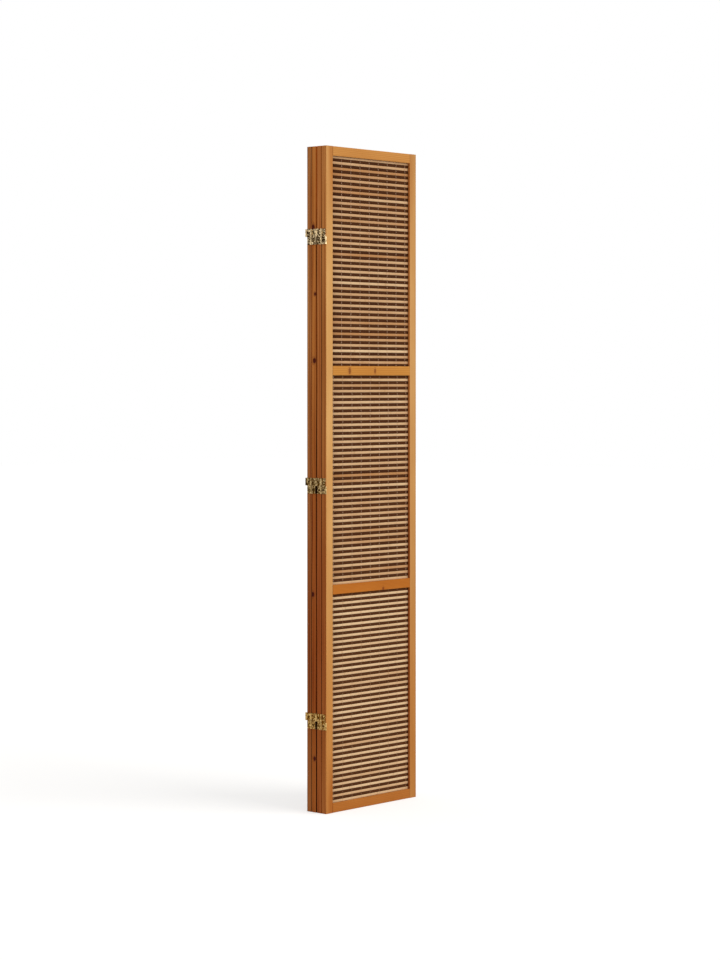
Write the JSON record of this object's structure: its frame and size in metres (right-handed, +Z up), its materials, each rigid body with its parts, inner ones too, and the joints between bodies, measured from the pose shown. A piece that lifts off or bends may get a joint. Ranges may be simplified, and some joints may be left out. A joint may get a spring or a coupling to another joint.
{
  "type": "folding room divider",
  "caption": "Folding wooden room divider, shown folded flat: narrow framed panels filled with woven light and dark slats, joined edge to edge by double-action brass hinges.",
  "frame": {"origin": "middle of the foot of the folded stack, on the floor", "axes": "+X across a panel from the hinged edge that the picture shows to the far edge, +Y from the front panel to the back one, +Z up"},
  "size_m": [0.3592, 0.0726, 1.7],
  "materials": {
    "pine_stile": "satin lacquered pine",
    "pine_rail": "satin lacquered pine",
    "light_bamboo": "matt split bamboo",
    "dark_bamboo": "dark stained split bamboo",
    "cotton_thread": "twisted cotton",
    "dowel_beech": "plain beech",
    "brass_plate": "brass plated steel, polished",
    "brass_pin": "polished",
    "brass_screw": "polished"
  },
  "bodies": {
    "panel_1": {"panel_1_left_stile": "pine_stile", "panel_1_right_stile": "pine_stile", "panel_1_top_rail": "pine_rail", "panel_1_upper_rail": "pine_rail", "panel_1_lower_rail": "pine_rail", "panel_1_bottom_rail": "pine_rail", "panel_1_light_slats": "light_bamboo", "panel_1_dark_slats": "dark_bamboo", "panel_1_threads": "cotton_thread", "panel_1_dowels": "dowel_beech", "panel_1_hinge_pins": "brass_pin", "panel_1_hinge_screws": "brass_screw", "panel_1_left_hinge_leaves": "brass_plate", "panel_1_left_hinge_links": "brass_plate"},
    "panel_2": {"panel_2_left_stile": "pine_stile", "panel_2_right_stile": "pine_stile", "panel_2_top_rail": "pine_rail", "panel_2_upper_rail": "pine_rail", "panel_2_lower_rail": "pine_rail", "panel_2_bottom_rail": "pine_rail", "panel_2_light_slats": "light_bamboo", "panel_2_dark_slats": "dark_bamboo", "panel_2_threads": "cotton_thread", "panel_2_dowels": "dowel_beech", "panel_2_hinge_pins": "brass_pin", "panel_2_hinge_screws": "brass_screw", "panel_2_left_hinge_leaves": "brass_plate", "panel_2_right_hinge_leaves": "brass_plate", "panel_2_left_hinge_links": "brass_plate", "panel_2_right_hinge_links": "brass_plate"},
    "panel_3": {"panel_3_left_stile": "pine_stile", "panel_3_right_stile": "pine_stile", "panel_3_top_rail": "pine_rail", "panel_3_upper_rail": "pine_rail", "panel_3_lower_rail": "pine_rail", "panel_3_bottom_rail": "pine_rail", "panel_3_light_slats": "light_bamboo", "panel_3_dark_slats": "dark_bamboo", "panel_3_threads": "cotton_thread", "panel_3_dowels": "dowel_beech", "panel_3_hinge_pins": "brass_pin", "panel_3_hinge_screws": "brass_screw", "panel_3_right_hinge_leaves": "brass_plate", "panel_3_left_hinge_leaves": "brass_plate", "panel_3_right_hinge_links": "brass_plate", "panel_3_left_hinge_links": "brass_plate"},
    "panel_4": {"panel_4_left_stile": "pine_stile", "panel_4_right_stile": "pine_stile", "panel_4_top_rail": "pine_rail", "panel_4_upper_rail": "pine_rail", "panel_4_lower_rail": "pine_rail", "panel_4_bottom_rail": "pine_rail", "panel_4_light_slats": "light_bamboo", "panel_4_dark_slats": "dark_bamboo", "panel_4_threads": "cotton_thread", "panel_4_dowels": "dowel_beech", "panel_4_hinge_pins": "brass_pin", "panel_4_hinge_screws": "brass_screw", "panel_4_left_hinge_leaves": "brass_plate", "panel_4_left_hinge_links": "brass_plate"}
  },
  "joints": [
    {"name": "front_pair_fold", "type": "hinge", "parent": "panel_1", "child": "panel_2", "pos_m": [-0.1774, -0.0173, 0], "axis": [0, 0, 1], "range_deg": [0, 160]},
    {"name": "middle_fold", "type": "hinge", "parent": "panel_2", "child": "panel_3", "pos_m": [0.1774, 0, 0], "axis": [0, 0, -1], "range_deg": [0, 180]},
    {"name": "back_pair_fold", "type": "hinge", "parent": "panel_3", "child": "panel_4", "pos_m": [-0.1774, 0.0173, 0], "axis": [0, 0, 1], "range_deg": [0, 160]}
  ]
}
